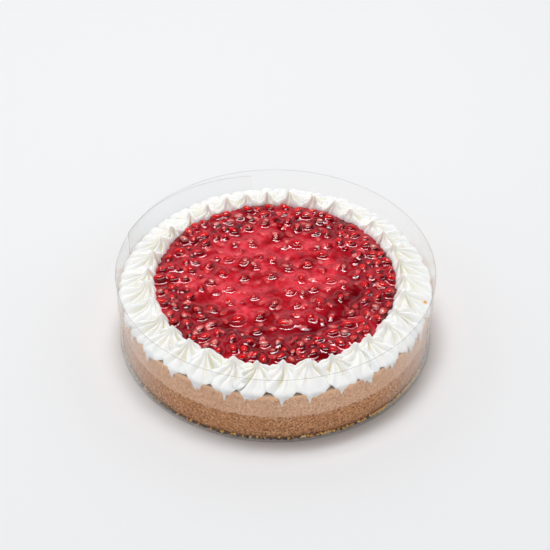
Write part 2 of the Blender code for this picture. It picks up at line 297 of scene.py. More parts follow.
# Film
FILM_THICKNESS = 0.00032
LAP_START_DEG = 99.5
LAP_LENGTH_DEG = 62.0
LAP_BLEND_DEG = 16.0
LAP_CLEARANCE_DEG = 6.0
LAP_DROP = 0.0045
LAP_DROP_LENGTH_DEG = 44.0
FILM_STEP_DEG = 1.0
# The painted grey reflection that the film takes on at a glancing angle
FILM_REFLECTION_GREY = (0.84, 0.83, 0.81)
FILM_EDGE_TINT = (0.38, 0.39, 0.39)
FILM_GLANCE_FROM = 0.38
FILM_ALPHA = (0.025, 0.38)

# Studio
WALL = (0.94, 0.94, 0.95)
CEILING = (0.02, 0.02, 0.02)
WALL_STOPS = ((0.0, WALL), (0.65, WALL), (0.73, CEILING), (1.0, CEILING))
FRONT_SHARE = 0.70
FRONT_EDGE = (-0.45, -0.05)
KEY_WATTS = 40.0
KEY_DIRECTION = (112.0, 80.0)
KEY_DISTANCE = 2.4
KEY_SIZE = (1.2, 0.5)
FLOOR_COLOUR = (0.83, 0.84, 0.85)
FLOOR_WIDTH = 12.0
FLOOR_HEIGHT = -0.0002

# What the wet and glossy surfaces mirror: one high bright band, darker below and above it
MIRROR_LOW = 0.03
MIRROR_BAND = (0.15, 0.55)
MIRROR_TOP = (0.58, 0.71)
MIRROR_CEILING = 0.02
MIRROR_COLOUR = (0.74, 0.74, 0.84)
SPARKLE_DIRECTION = (0.16, 0.36, 0.919)
SPARKLE_EDGE = (0.988, 0.992)
SPARKLE_COLOUR = (9.0, 9.0, 10.0)


def held(value):
    """A value kept between 0 and 1."""
    return min(max(value, 0.0), 1.0)


def node_material(name):
    """A fresh Principled material, its node tree and its shader."""
    made = bpy.data.materials.new(name)
    made.use_nodes = True
    return made, made.node_tree, made.node_tree.nodes["Principled BSDF"]


def set_inputs(shader, **values):
    """Set a shader's sockets by their names, with _ for each space."""
    for name, value in values.items():
        socket = shader.inputs[name.replace("_", " ")]
        colour = isinstance(value, tuple) and len(socket.default_value) == 4
        socket.default_value = (*value, 1.0) if colour else value


def noise_node(tree, scale, detail=3.0, roughness=0.55):
    """Noise on object coordinates, so that it stays on the piece."""
    place = tree.nodes.new("ShaderNodeTexCoord")
    texture = tree.nodes.new("ShaderNodeTexNoise")
    texture.inputs["Scale"].default_value = scale
    texture.inputs["Detail"].default_value = detail
    texture.inputs["Roughness"].default_value = roughness
    tree.links.new(place.outputs["Object"], texture.inputs["Vector"])
    return texture.outputs["Fac"]


def ramp_node(tree, source, stops):
    """A colour ramp over a value, with stops of (position, colour)."""
    ramp = tree.nodes.new("ShaderNodeValToRGB")
    elements = ramp.color_ramp.elements
    while len(elements) < len(stops):
        elements.new(0.5)
    for element, (position, colour) in zip(elements, stops):
        element.position = position
        element.color = (*colour, 1.0)
    tree.links.new(source, ramp.inputs["Fac"])
    return ramp.outputs["Color"]


def mix_node(tree, factor, first, second, blend="MIX"):
    """Mix two colours, each a socket or a plain colour."""
    mix = tree.nodes.new("ShaderNodeMix")
    mix.data_type = "RGBA"
    mix.blend_type = blend
    for socket, value in ((mix.inputs[0], factor), (mix.inputs[6], first), (mix.inputs[7], second)):
        if isinstance(value, bpy.types.NodeSocket):
            tree.links.new(value, socket)
        elif isinstance(value, tuple):
            socket.default_value = (*value, 1.0)
        else:
            socket.default_value = value
    return mix.outputs[2]


def range_node(tree, source, low, high, to_low=0.0, to_high=1.0):
    """Stretch a value's range, held at both ends."""
    stretch = tree.nodes.new("ShaderNodeMapRange")
    stretch.inputs["From Min"].default_value = low
    stretch.inputs["From Max"].default_value = high
    stretch.inputs["To Min"].default_value = to_low
    stretch.inputs["To Max"].default_value = to_high
    tree.links.new(source, stretch.inputs["Value"])
    return stretch.outputs["Result"]


def patches(tree, rate, detail, low, high, most):
    """Scattered patches of noise, from 0 to a greatest share."""
    return range_node(tree, noise_node(tree, rate, detail), low, high, 0.0, most)


def height_node(tree):
    """A point's height above the cake's foot."""
    place = tree.nodes.new("ShaderNodeTexCoord")
    split = tree.nodes.new("ShaderNodeSeparateXYZ")
    tree.links.new(place.outputs["Object"], split.inputs["Vector"])
    return split.outputs["Z"]


def attribute_node(tree, name):
    """A value stored on the mesh."""
    reader = tree.nodes.new("ShaderNodeAttribute")
    reader.attribute_name = name
    return reader.outputs["Fac"]


def bump_node(tree, shader, source, strength, distance):
    """Fine relief in the shader's normal."""
    bump = tree.nodes.new("ShaderNodeBump")
    bump.inputs["Strength"].default_value = strength
    bump.inputs["Distance"].default_value = distance
    tree.links.new(source, bump.inputs["Height"])
    tree.links.new(bump.outputs["Normal"], shader.inputs["Normal"])


def ragged_rise(tree, height, middle, spread, rate):
    """From 0 below a height to 1 above it, along a ragged line."""
    rise = range_node(tree, height, middle - spread / 2.0, middle + spread / 2.0)
    total = tree.nodes.new("ShaderNodeMath")
    total.operation = "ADD"
    tree.links.new(rise, total.inputs[0])
    tree.links.new(noise_node(tree, rate, 3.0, 0.7), total.inputs[1])
    return range_node(tree, total.outputs["Value"], 0.95, 1.05)


def cake_colour(tree):
    """The cake's side: brown crumb below, beige filling above, and a ragged line between them."""
    height = height_node(tree)
    brown = ramp_node(tree, noise_node(tree, 640.0, 4.0, 0.7), CRUMB_STOPS)
    grains = mix_node(tree, patches(tree, 820.0, 1.0, 0.56, 0.62, 0.75), brown, CRUMB_SPECK)
    grains = mix_node(tree, patches(tree, 560.0, 1.0, 0.66, 0.70, 0.8), grains, CRUMB_GOLD)
    # Painted shade darkens the crumb towards the cake's foot
    foot_shade = range_node(tree, height, *FOOT_SHADE_HEIGHTS, 0.8, 0.0)
    plain = mix_node(tree, patches(tree, 110.0, 2.0, 0.40, 0.62, 0.40), grains, CRUMB_BROWN)
    crumb = mix_node(tree, foot_shade, plain, CRUMB_FOOT_SHADE)

    beige = ramp_node(tree, noise_node(tree, 620.0, 4.0, 0.75), FILLING_STOPS)
    baked = mix_node(tree, patches(tree, 60.0, 3.0, 0.35, 0.65, 0.35), beige, FILLING_CLOUD)
    browned = ragged_rise(tree, height, FILLING_TOP - BROWNED_DROP, 0.0100, 170.0)
    edged = mix_node(tree, browned, baked, FILLING_BROWNED)
    # Painted shade on the filling's flat top, under the cream's overhang
    shaded_top = range_node(tree, height, FILLING_TOP - 0.0003, FILLING_TOP - 0.0001)
    filling = mix_node(tree, shaded_top, edged, FILLING_SHADED_TOP)
    above = ragged_rise(tree, height, CRUST_TOP, 0.0070, 300.0)
    return mix_node(tree, above, crumb, filling)


def cake_material(name, roughness, relief):
    """One of the cake's two layers, rough or matt, with its grain in relief."""
    made, tree, shader = node_material(name)
    fine = noise_node(tree, 1150.0, 2.0)
    tree.links.new(cake_colour(tree), shader.inputs["Base Color"])
    set_inputs(shader, Roughness=roughness, IOR=1.4)
    bump_node(tree, shader, fine, relief, 0.0002)
    return made


def cream_material():
    """Whipped cream: near white and soft, with painted warm shade in its grooves."""
    made, tree, shader = node_material("whipped_cream")
    fine = noise_node(tree, 700.0, 3.0)
    # Painted warm shade in the grooves, read from the mesh
    depth = range_node(tree, attribute_node(tree, "groove"), 0.10, 1.10)
    tree.links.new(mix_node(tree, depth, CREAM_RIDGE, CREAM_GROOVE_SHADE), shader.inputs["Base Color"])
    set_inputs(shader, Roughness=0.42, IOR=1.4, Subsurface_Weight=0.3, Subsurface_Scale=0.004)
    set_inputs(shader, Subsurface_Radius=(1.0, 0.75, 0.5))
    bump_node(tree, shader, fine, 0.12, 0.0001)
    return made


def jelly_material():
    """Wet red jelly: thin and bright in places, darker red at its thicker rim, with painted shade beside the
    fruit and along the crease.
    """
    made, tree, shader = node_material("fruit_jelly")
    broad = noise_node(tree, 55.0, 3.0)
    fine = noise_node(tree, 260.0, 2.0)
    thin = ramp_node(tree, broad, JELLY_THIN)
    full = ramp_node(tree, broad, JELLY_THICKER_AND_SHADED)
    # Darker red for the thicker rim together with the painted shade, read from the mesh
    depth_and_shade = attribute_node(tree, "depth_and_shade")
    red = mix_node(tree, range_node(tree, depth_and_shade, 0.0, JELLY_TURN, 0.0, 0.95), thin, full)
    deep = mix_node(tree, range_node(tree, depth_and_shade, JELLY_TURN, 1.0, 0.0, 0.85), red, JELLY_DARKEST_SHADE)
    speckled = range_node(tree, noise_node(tree, 270.0, 3.0, 0.7), 0.38, 0.58, 0.45, 0.0)
    deep = mix_node(tree, speckled, deep, JELLY_SPECKLE)
    pulp = ramp_node(tree, fine, JELLY_PULP)
    tree.links.new(mix_node(tree, attribute_node(tree, "fruit"), deep, pulp), shader.inputs["Base Color"])
    set_inputs(shader, Roughness=0.04, IOR=1.50)
    bump_node(tree, shader, fine, 0.5, 0.0003)
    return made


def aril_material():
    """Ripe pomegranate flesh: clear ruby, with a painted glow of light through the flesh and the pale seed
    showing in its middle.
    """
    made, tree, shader = node_material("ruby_flesh")
    broad = noise_node(tree, 130.0, 1.0)
    seed_and_glow = attribute_node(tree, "seed_and_glow")
    body = ramp_node(tree, broad, ARIL_BODY)
    glow = ramp_node(tree, noise_node(tree, 95.0, 0.0), ARIL_GLOW)
    # Painted glow of light through the flesh, with the pale seed, in the middle of each aril's upper side
    tree.links.new(mix_node(tree, seed_and_glow, body, glow), shader.inputs["Base Color"])
    set_inputs(shader, Roughness=0.05, IOR=1.45, Transmission_Weight=0.2)
    set_inputs(shader, Coat_Weight=0.25, Coat_Roughness=0.03, Coat_IOR=1.4)
    return made


def grain_material(name, rate, stops, roughness):
    """A small plain thing whose colour varies from one to the next."""
    made, tree, shader = node_material(name)
    tree.links.new(ramp_node(tree, noise_node(tree, rate, 1.0), stops), shader.inputs["Base Color"])
    set_inputs(shader, Roughness=roughness)
    return made


def film_material():
    """Clear film: all but unseen face on, glossier at a glancing angle, where a painted grey reflection fades
    in.
    """
    made, tree, shader = node_material("clear_film")
    glance = tree.nodes.new("ShaderNodeLayerWeight")
    glance.inputs["Blend"].default_value = 0.5
    # Painted reflection: the film turns grey and less clear as it is seen more edge on
    alpha = range_node(tree, glance.outputs["Facing"], FILM_GLANCE_FROM, 1.0, *FILM_ALPHA)
    alpha.node.interpolation_type = "SMOOTHERSTEP"
    tree.links.new(alpha, shader.inputs["Alpha"])
    set_inputs(shader, Base_Color=FILM_REFLECTION_GREY, Roughness=0.05, IOR=1.5)
    return made


def plain_material(name, **values):
    """A material of one colour and finish all over."""
    made, _, shader = node_material(name)
    set_inputs(shader, **values)
    return made


def add_piece(name, mesh, materials, replaced=()):
    """Put a finished mesh in the scene as a piece of the cake."""
    piece = bpy.data.objects.new(name, mesh)
    bpy.context.scene.collection.objects.link(piece)
    for material in materials:
        mesh.materials.append(material)
    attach(piece, BODY)
    if replaced:
        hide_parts(*replaced)


def store(mesh, name, values, kind="FLOAT", field="value"):
    """Keep a value for each point of a mesh, where its material or its tree reads it."""
    layer = mesh.attributes.new(name, kind, "POINT")
    layer.data.foreach_set(field, np.array(values, np.float32).ravel())


def finished_mesh(item):
    """The plain mesh that an object's modifiers give."""
    bpy.context.view_layer.update()
    depsgraph = bpy.context.evaluated_depsgraph_get()
    return bpy.data.meshes.new_from_object(item.evaluated_get(depsgraph))


def mesh_of(name, points, faces):
    """A smooth mesh from points and faces, with its faces pointing out."""
    mesh = bpy.data.meshes.new(name)
    mesh.from_pydata(points, [], faces)
    shape = bmesh.new()
    shape.from_mesh(mesh)
    bmesh.ops.recalc_face_normals(shape, faces=shape.faces)
    shape.to_mesh(mesh)
    shape.free()
    mesh.shade_smooth()
    return mesh


def ring_faces(rows, columns, offset=0):
    """The faces between rings of points that close round."""
    faces = []
    for row in range(rows - 1):
        for column in range(columns):
            after = (column + 1) % columns
            a = offset + row * columns
            b = a + columns
            faces.append((a + column, b + column, b + after, a + after))
    return faces


def closed_rings(rows, columns):
    """Rings of faces between two poles, which are the first point and the last."""
    faces = ring_faces(rows, columns, 1)
    last = rows * columns + 1
    for column in range(columns):
        after = (column + 1) % columns
        faces.append((0, 1 + column, 1 + after))
        faces.append((last, last - columns + after, last - columns + column))
    return faces


def on_circle(radius, degrees, height):
    """The point at a radius, an angle and a height."""
    angle = math.radians(degrees)
    return Vector((radius * math.cos(angle), radius * math.sin(angle), height))


def cake_layer(name, radius, foot, top, corner, relief, material, node):
    """A turned layer whose side carries the real relief of its crumb."""
    side_rows = max(12, round((top - foot) / CAKE_ROW))
    bend = [math.radians(degrees) for degrees in (0, 30, 60, 90)]
    profile = [(radius * 0.5, top)] + [(radius - inward, top) for inward in TOP_RINGS]
    profile += [(radius - corner + corner * math.sin(a), top - corner + corner * math.cos(a)) for a in bend]
    profile.append((radius, top - corner - LAYER_SUPPORT))
    fall = foot + corner - top + corner
    profile += [(radius, top - corner + fall * i / side_rows) for i in range(1, side_rows)]
    profile.append((radius, foot + corner + LAYER_SUPPORT))
    profile += [(radius - corner + corner * math.cos(a), foot + corner - corner * math.sin(a)) for a in bend]
    profile.append((radius * 0.5, foot))
    points = [Vector((0.0, 0.0, top))]
    for distance, height in profile:
        for column in range(CAKE_COLUMNS):
            point = on_circle(distance, column * 360.0 / CAKE_COLUMNS, height)
            share = held((distance - radius + DENT_REACH) / DENT_REACH)
            grain = sum(size * noise.noise(point * rate) for rate, size in relief)
            # The layer only sinks in from its true radius, so it stays clear of its neighbours
            dent = share * max(0.0, grain + 0.25 * relief[0][1])
            point.x *= 1.0 - dent / distance
            point.y *= 1.0 - dent / distance
            points.append(point)
    points.append(Vector((0.0, 0.0, foot)))
    faces = closed_rings(len(profile), CAKE_COLUMNS)
    add_piece(name, mesh_of(name, points, faces), [material], [node])


def jelly_height(x, y):
    """The jelly's top surface: a level middle, a creased valley and a fuller rim."""
    radius = np.hypot(x, y)
    rim = np.clip((radius - RIM_RISE[0]) / (RIM_RISE[1] - RIM_RISE[0]), 0.0, 1.0)
    level = JELLY_MIDDLE_TOP + (JELLY_RIM_TOP - JELLY_MIDDLE_TOP) * rim
    facing = np.maximum(0.0, np.cos(np.arctan2(y, x) - math.radians(CREASE_FACES_DEG)))
    crease = CREASE_DEPTH * facing * np.exp(-(((radius - CREASE_RADIUS) / CREASE_WIDTH) ** 2))
    ripple = RIPPLE_HEIGHT * np.sin(RIPPLE_RATE * x + 1.0) * np.cos(RIPPLE_RATE * y)
    return level - crease + ripple


def scatter(rng, count, band, spacing, taken):
    """Seeded places in a ring, none nearer to another than the spacing."""
    places = []
    for _ in range(ARIL_TRIES):
        if len(places) == count:
            break
        radius = math.sqrt(rng.uniform(band[0] ** 2, band[1] ** 2))
        angle = rng.uniform(0.0, 2.0 * math.pi)
        x, y = radius * math.cos(angle), radius * math.sin(angle)
        if all(math.hypot(x - a, y - b) > spacing for a, b in taken + places):
            places.append((x, y))
    return places


def lay_arils():
    """The arils as (x, y, size, heading, pitch, lift), and the sunk ones as (x, y, size, heading, strength).

    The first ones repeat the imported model's own draws, so they lie where its arils do.
    """
    rng = random.Random(ARIL_SEED)
    for _ in range(JELLY_SPOKES):
        rng.uniform(-JELLY_WOBBLE, JELLY_WOBBLE)
    places = [(x, y, LARGE_ARIL_SCALE) for x, y in LARGE_ARILS]
    taken = list(LARGE_ARILS)
    for count, band, spacing in (
        (RIM_ARILS, RIM_BAND, RIM_SPACING),
        (MIDDLE_ARILS, MIDDLE_BAND, MIDDLE_SPACING),
    ):
        found = scatter(rng, count, band, spacing, taken)
        taken += found
        places += [(x, y, rng.uniform(*ARIL_SCALES)) for x, y in found]
    arils = []
    for x, y, size in places:
        heading = rng.uniform(0.0, 360.0)
        pitch = rng.uniform(-ARIL_PITCH_DEG, ARIL_PITCH_DEG)
        stands = math.hypot(x, y) > MIDDLE_BAND[1] or size == LARGE_ARIL_SCALE
        arils.append((x, y, size, heading, pitch, ARIL_LIFT if stands else MIDDLE_LIFT))
    extra = random.Random(EXTRA_SEED)
    for count, band, spacing in EXTRA_ARILS:
        found = scatter(extra, count, band, spacing, taken)
        taken += found
        for x, y in found:
            size = extra.uniform(*EXTRA_SCALES)
            lift = RIM_LIFT if math.hypot(x, y) > EDGE_FROM else extra.uniform(*EXTRA_LIFTS)
            heading = extra.uniform(0.0, 360.0)
            arils.append((x, y, size, heading, extra.uniform(-EXTRA_PITCH_DEG, EXTRA_PITCH_DEG), lift))
    sunk = []
    for x, y in scatter(extra, SUNK_COUNT, SUNK_BAND, SUNK_SPACING, []):
        size = extra.uniform(*SUNK_SCALES)
        heading = extra.uniform(0.0, 360.0)
        sunk.append((x, y, size, heading, extra.uniform(*SUNK_STRENGTHS)))
    return arils, sunk


def disc_grid(count):
    """A square grid folded into a disc of radius 1, so that its cells stay even."""
    line = np.linspace(-1.0, 1.0, count)
    a, b = np.meshgrid(line, line, indexing="xy")
    wide = np.abs(a) > np.abs(b)
    safe_a = np.where(a == 0.0, 1.0, a)
    safe_b = np.where(b == 0.0, 1.0, b)
    length = np.where(wide, a, b)
    eighth = math.pi / 4.0
    turn = np.where(wide, eighth * (b / safe_a), (math.pi / 2.0) - eighth * (a / safe_b))
    turn = np.where((a == 0.0) & (b == 0.0), 0.0, turn)
    return length * np.cos(turn), length * np.sin(turn)


def jelly_swell(x, y):
    """Slow swells left as the jelly set, about a fruit's width apart."""
    places = zip(x.ravel(), y.ravel())
    swell = [SWELL_HEIGHT * noise.noise((a * SWELL_RATE, b * SWELL_RATE, 0.0)) for a, b in places]
    return np.array(swell).reshape(x.shape)


def aril_ring(x, y, middle, heading, half_length, half_width):
    """How far points are from an aril's middle, where its oval outline is at 1."""
    turn = math.radians(heading)
    along = (x - middle[0]) * math.cos(turn) + (y - middle[1]) * math.sin(turn)
    across = -(x - middle[0]) * math.sin(turn) + (y - middle[1]) * math.cos(turn)
    return np.hypot(along / half_length, across / half_width)


def jelly_piece(arils, sunk, material):
    """The jelly: one wet surface that climbs round each aril and swells over the sunk ones."""
    x, y = disc_grid(JELLY_GRID)
    radius = np.hypot(x, y) * JELLY_SPREAD
    x, y = x * JELLY_SPREAD, y * JELLY_SPREAD
    height = jelly_height(x, y) + jelly_swell(x, y)
    fruit = np.zeros_like(height)
    # Darker red towards the thicker rim, and painted shade towards the front-right side and along the crease
    facing = np.maximum(0.0, np.cos(np.arctan2(y, x) - math.radians(SHADE_FACES_DEG)))
    rim = np.clip((radius + SHADE_SIDE * facing - THICK_FROM) / (THICK_FULL - THICK_FROM), 0.0, 1.0)
    depth_and_shade = THICK_RIM * rim * rim * (3.0 - 2.0 * rim)
    depth_and_shade += CREASE_SHADE * facing * np.exp(-(((radius - CREASE_RADIUS) / CREASE_WIDTH) ** 2))
    climb = np.zeros_like(height)
    for ax, ay, size, heading, _, lift in arils:
        half_width = 0.5 * size * ARIL_WIDTH
        ring = aril_ring(x, y, (ax, ay), heading, 0.5 * size * ARIL_LENGTH, half_width)
        outside = np.maximum(ring - COAT_EDGE, 0.0) * half_width
        stands = max(0.0, half_width + lift)
        coat = np.exp(-((outside / COAT_REACH) ** COAT_FALL))
        climb += COAT_CLIMB * stands * coat * (1.0 - climb / COAT_MOST)
        # Painted shade beside each aril, shifted towards the front-right and weaker in the middle
        beside = np.hypot(x - ax - SHADE_SHIFT[0], y - ay - SHADE_SHIFT[1]) / (SHADE_REACH * half_width)
        halo = HALO_MIDDLE + (1.0 - HALO_MIDDLE) * held((math.hypot(ax, ay) - HALO_FROM) / HALO_SPAN)
        depth_and_shade = np.maximum(depth_and_shade, halo * np.exp(-(beside ** 4)))
    for ax, ay, size, heading, strength in sunk:
        halves = (SUNK_HALVES[0] * size * ARIL_LENGTH, SUNK_HALVES[1] * size * ARIL_WIDTH)
        ring = aril_ring(x, y, (ax, ay), heading, *halves)
        swell = np.clip(1.0 - ring ** 2, 0.0, 1.0)
        fruit = np.maximum(fruit, strength * np.clip(SUNK_EDGE * swell, 0.0, 1.0) * SUNK_SHARE)
        climb = np.maximum(climb, SUNK_RISE * strength * np.exp(-((ring / SUNK_FALL) ** 2)))
    height = height + climb
    points = [Vector(p) for p in zip(x.ravel(), y.ravel(), height.ravel())]
    n = JELLY_GRID
    cells = [(row * n + column) for row in range(n - 1) for column in range(n - 1)]
    faces = [(cell, cell + 1, cell + n + 1, cell + n) for cell in cells]
    rim = list(range(n)) + [row * n + n - 1 for row in range(1, n)]
    rim += [(n - 1) * n + column for column in range(n - 2, -1, -1)]
    rim += [row * n for row in range(n - 2, 0, -1)]
    start = len(points)
    for index in rim:
        points.append(Vector((points[index].x, points[index].y, JELLY_BOTTOM)))
    count = len(rim)
    for i in range(count):
        after = (i + 1) % count
        faces.append((rim[i], start + i, start + after, rim[after]))
    faces.append([start + i for i in range(count)])
    mesh = mesh_of("pomegranate_jelly", points, faces)
    for name, values in (("fruit", fruit), ("depth_and_shade", depth_and_shade)):
        store(mesh, name, np.concatenate([values.ravel(), np.zeros(count)]))
    add_piece("pomegranate_jelly", mesh, [material], ["pomegranate_topping"])


def drop_mesh(name, sides, rings, length, width, taper, facets):
    """One aril-shaped drop along +Z, blunt at one end, with a few soft facets."""
    points = [Vector((0.0, 0.0, 0.5 * length))]
    for ring in range(1, rings):
        polar = math.pi * ring / rings
        z = 0.5 * math.cos(polar)
        across = 0.5 * math.sin(polar) ** 0.85 * (1.0 - taper * (z + 0.5))
        for side in range(sides):
            angle = 2.0 * math.pi * side / sides
            radius = across * width * (1.0 - facets * math.cos(5.0 * angle + 3.0 * z))
            points.append(Vector((radius * math.cos(angle), radius * math.sin(angle), z * length)))
    points.append(Vector((0.0, 0.0, -0.5 * length)))
    return mesh_of(name, points, closed_rings(rings - 1, sides))


def placing_tree():
    """Copies of one shape on points, turned and sized by what each point stores."""
    tree = bpy.data.node_groups.new("place_on_points", "GeometryNodeTree")
    nodes, links = tree.nodes, tree.links
    for label, flow, kind in (
        ("Geometry", "INPUT", "NodeSocketGeometry"),
        ("Geometry", "OUTPUT", "NodeSocketGeometry"),
        ("Shape", "INPUT", "NodeSocketObject"),
        ("Finish", "INPUT", "NodeSocketMaterial"),
    ):
        tree.interface.new_socket(name=label, in_out=flow, socket_type=kind)
    given = nodes.new("NodeGroupInput")
    made = nodes.new("NodeGroupOutput")
    shape = nodes.new("GeometryNodeObjectInfo")
    copies = nodes.new("GeometryNodeInstanceOnPoints")
    for name, socket in (("turn", "Rotation"), ("size", "Scale")):
        stored = nodes.new("GeometryNodeInputNamedAttribute")
        stored.data_type = "FLOAT_VECTOR"
        stored.inputs["Name"].default_value = name
        links.new(stored.outputs["Attribute"], copies.inputs[socket])
    real = nodes.new("GeometryNodeRealizeInstances")
    finish = nodes.new("GeometryNodeSetMaterial")
    links.new(given.outputs["Geometry"], copies.inputs["Points"])
    links.new(given.outputs["Shape"], shape.inputs["Object"])
    links.new(shape.outputs["Geometry"], copies.inputs["Instance"])
    links.new(copies.outputs["Instances"], real.inputs["Geometry"])
    links.new(real.outputs["Geometry"], finish.inputs["Geometry"])
    links.new(given.outputs["Finish"], finish.inputs["Material"])
    links.new(finish.outputs["Geometry"], made.inputs["Geometry"])
    return tree


def socket_id(tree, label):
    """The identifier of a tree's named input."""
    sockets = [item for item in tree.interface.items_tree if item.name == label and item.in_out == "INPUT"]
    return sockets[0].identifier


def placed(name, shape_mesh, rows, tree, material):
    """One plain mesh of a shape repeated at (place, turn, size) rows."""
    carrier_mesh = bpy.data.meshes.new(name + "_places")
    carrier_mesh.from_pydata([row[0] for row in rows], [], [])
    for label, index in (("turn", 1), ("size", 2)):
        store(carrier_mesh, label, [tuple(row[index]) for row in rows], "FLOAT_VECTOR", "vector")
    carrier = bpy.data.objects.new(name + "_places", carrier_mesh)
    shape = bpy.data.objects.new(name + "_shape", shape_mesh)
    for item in (carrier, shape):
        bpy.context.scene.collection.objects.link(item)
    modifier = carrier.modifiers.new("place", "NODES")
    modifier.node_group = tree
    modifier[socket_id(tree, "Shape")] = shape
    modifier[socket_id(tree, "Finish")] = material
    mesh = finished_mesh(carrier)
    mesh.name = name
    for item in (carrier, shape):
        bpy.data.objects.remove(item, do_unlink=True)
    mesh.materials.clear()
    add_piece(name, mesh, [material])


def seed_and_glow_at(place):
    """How strongly the pale seed and a painted glow of light through the flesh show at a point of an aril
    lying with +Y up; the underside gets less.
    """
    across = (place.x - CORE_PLACE[0]) / CORE_SPREAD[0]
    along = (place.z - CORE_PLACE[1]) / CORE_SPREAD[1]
    return math.exp(-(across * across + along * along)) * (1.0 if place.y > 0.0 else CORE_BELOW)


def aril_pieces(arils, tree, flesh, seed):
    """The clear ruby arils, and the pale seed inside each."""
    rows = []
    cores = []
    for x, y, size, heading, pitch, lift in arils:
        place = Vector((x, y, float(jelly_height(x, y)) + lift))
        turn = (math.radians(90.0 - pitch), 0.0, math.radians(heading + 90.0))
        rows.append((place, turn, (size, size, size)))
        cores.append((place + Vector((0.0, 0.0, SEED_RISE * size)), turn, (size, size, size)))
    flesh_shape = drop_mesh("aril_flesh", 12, 8, ARIL_LENGTH, ARIL_WIDTH, ARIL_TAPER, ARIL_FACETS)
    store(flesh_shape, "seed_and_glow", [seed_and_glow_at(vertex.co) for vertex in flesh_shape.vertices])
    seed_size = (ARIL_LENGTH * SEED_LENGTH, ARIL_WIDTH * SEED_WIDTH)
    seed_shape = drop_mesh("aril_seed", 8, 6, *seed_size, ARIL_TAPER, 0.0)
    placed("pomegranate_arils", flesh_shape, rows, tree, flesh)
    placed("aril_seeds", seed_shape, cores, tree, seed)


def rim_distance(direction):
    """How far the rim of the star's foot, a rounded oblong, is from below its peak."""
    near, far = 0.0, 2.0 * STAR_HALF_WIDTH
    for _ in range(24):
        distance = (near + far) / 2.0
        run = distance * math.cos(direction) + STAR_PEAK_RADIUS - STAR_MIDDLE_RADIUS
        side = distance * math.sin(direction)
        spread = abs(run / STAR_HALF_DEPTH) ** STAR_SQUARENESS
        if spread + abs(side / STAR_HALF_WIDTH) ** STAR_SQUARENESS < 1.0:
            near = distance
        else:
            far = distance
    return near


def rim_degrees(distance, direction):
    """The angle from the star's middle, seen from the cake's middle, of a point beside its peak."""
    return math.degrees(
        math.atan2(distance * math.sin(direction), STAR_PEAK_RADIUS + distance * math.cos(direction))
    )


def rim_offset(degrees, middle_deg, radius):
    """How far along the rim an angle lies from a middle one."""
    return ((degrees - middle_deg + 180.0) % 360.0 - 180.0) * math.radians(1.0) * radius


def star_height(height, share, direction, distance, tip):
    """A star's height: a blunt tip on a body that bulges inward and runs out in a long slope."""
    tip_share, tip_radius, tip_power = tip
    power = STAR_SIDE_POWER - (STAR_SIDE_POWER - STAR_OUTER_POWER) * math.cos(direction)
    body = 1.0 - share ** power
    knob = math.exp(-((distance / tip_radius) ** tip_power))
    late = held((share - (1.0 - STAR_FOOT_SHARE)) / STAR_FOOT_SHARE)
    return height * (tip_share * knob + (1.0 - tip_share) * body) + STAR_FOOT * math.sqrt(1.0 - late * late)


def drip_share(offset, half_width):
    """How far down a pointed drip reaches, from 1 at its middle to 0 at its sides."""
    return max(0.0, 1.0 - abs(offset) / half_width) ** DRIP_POWER


def arch_cut(offset_deg, arches):
    """How far the star's outer foot draws back beside its neighbour on either side."""
    start, size = arches[offset_deg > 0.0]
    return ARCH_CUT * size * held((abs(offset_deg) - start) / ARCH_BLEND_DEG)


def under_rings(point, centre_deg, drips, skirt, shift):
    """Rings of (radius, height) below a point of a star's rim: down a drip or frill, then in to its foot."""
    overhang = FILLING_RADIUS + 2.0 * GAP
    radius = math.hypot(point.x, point.y)
    degrees = math.degrees(math.atan2(point.y, point.x))
    down = 0.0
    for drip_deg, length, half_width in drips:
        down = max(down, length * drip_share(rim_offset(degrees, drip_deg, radius), half_width))
    ruffle = 1.0 + RUFFLE_SIZE * noise.noise(point * RUFFLE_RATE + shift)
    beside = abs(rim_offset(degrees, centre_deg, radius))
    down = max(down, skirt * ruffle * held(2.0 - 2.0 * beside / SKIRT_HALF_WIDTH))
    down *= held((radius - overhang) / HANG_BLEND)
    hangs = down > RIM_STEP
    lifted = point.z > STAR_BASE + LIFT_LEAST
    low = point.z - LIP_HEIGHT if lifted else STAR_BASE - down
    inner = radius - RIM_STEP
    if lifted:
        inner = radius - ARCH_UNDERCUT
    elif hangs:
        inner = min(inner, overhang)
    return (
        (radius, (point.z + low) / 2.0),
        (radius - RIM_STEP / 2.0, low),
        (inner, low + RIM_STEP * hangs),
        (inner - RIM_STEP / 2.0, STAR_BASE + FLAT_STEP),
        (inner - FOOT_STEP, STAR_BASE),
    )


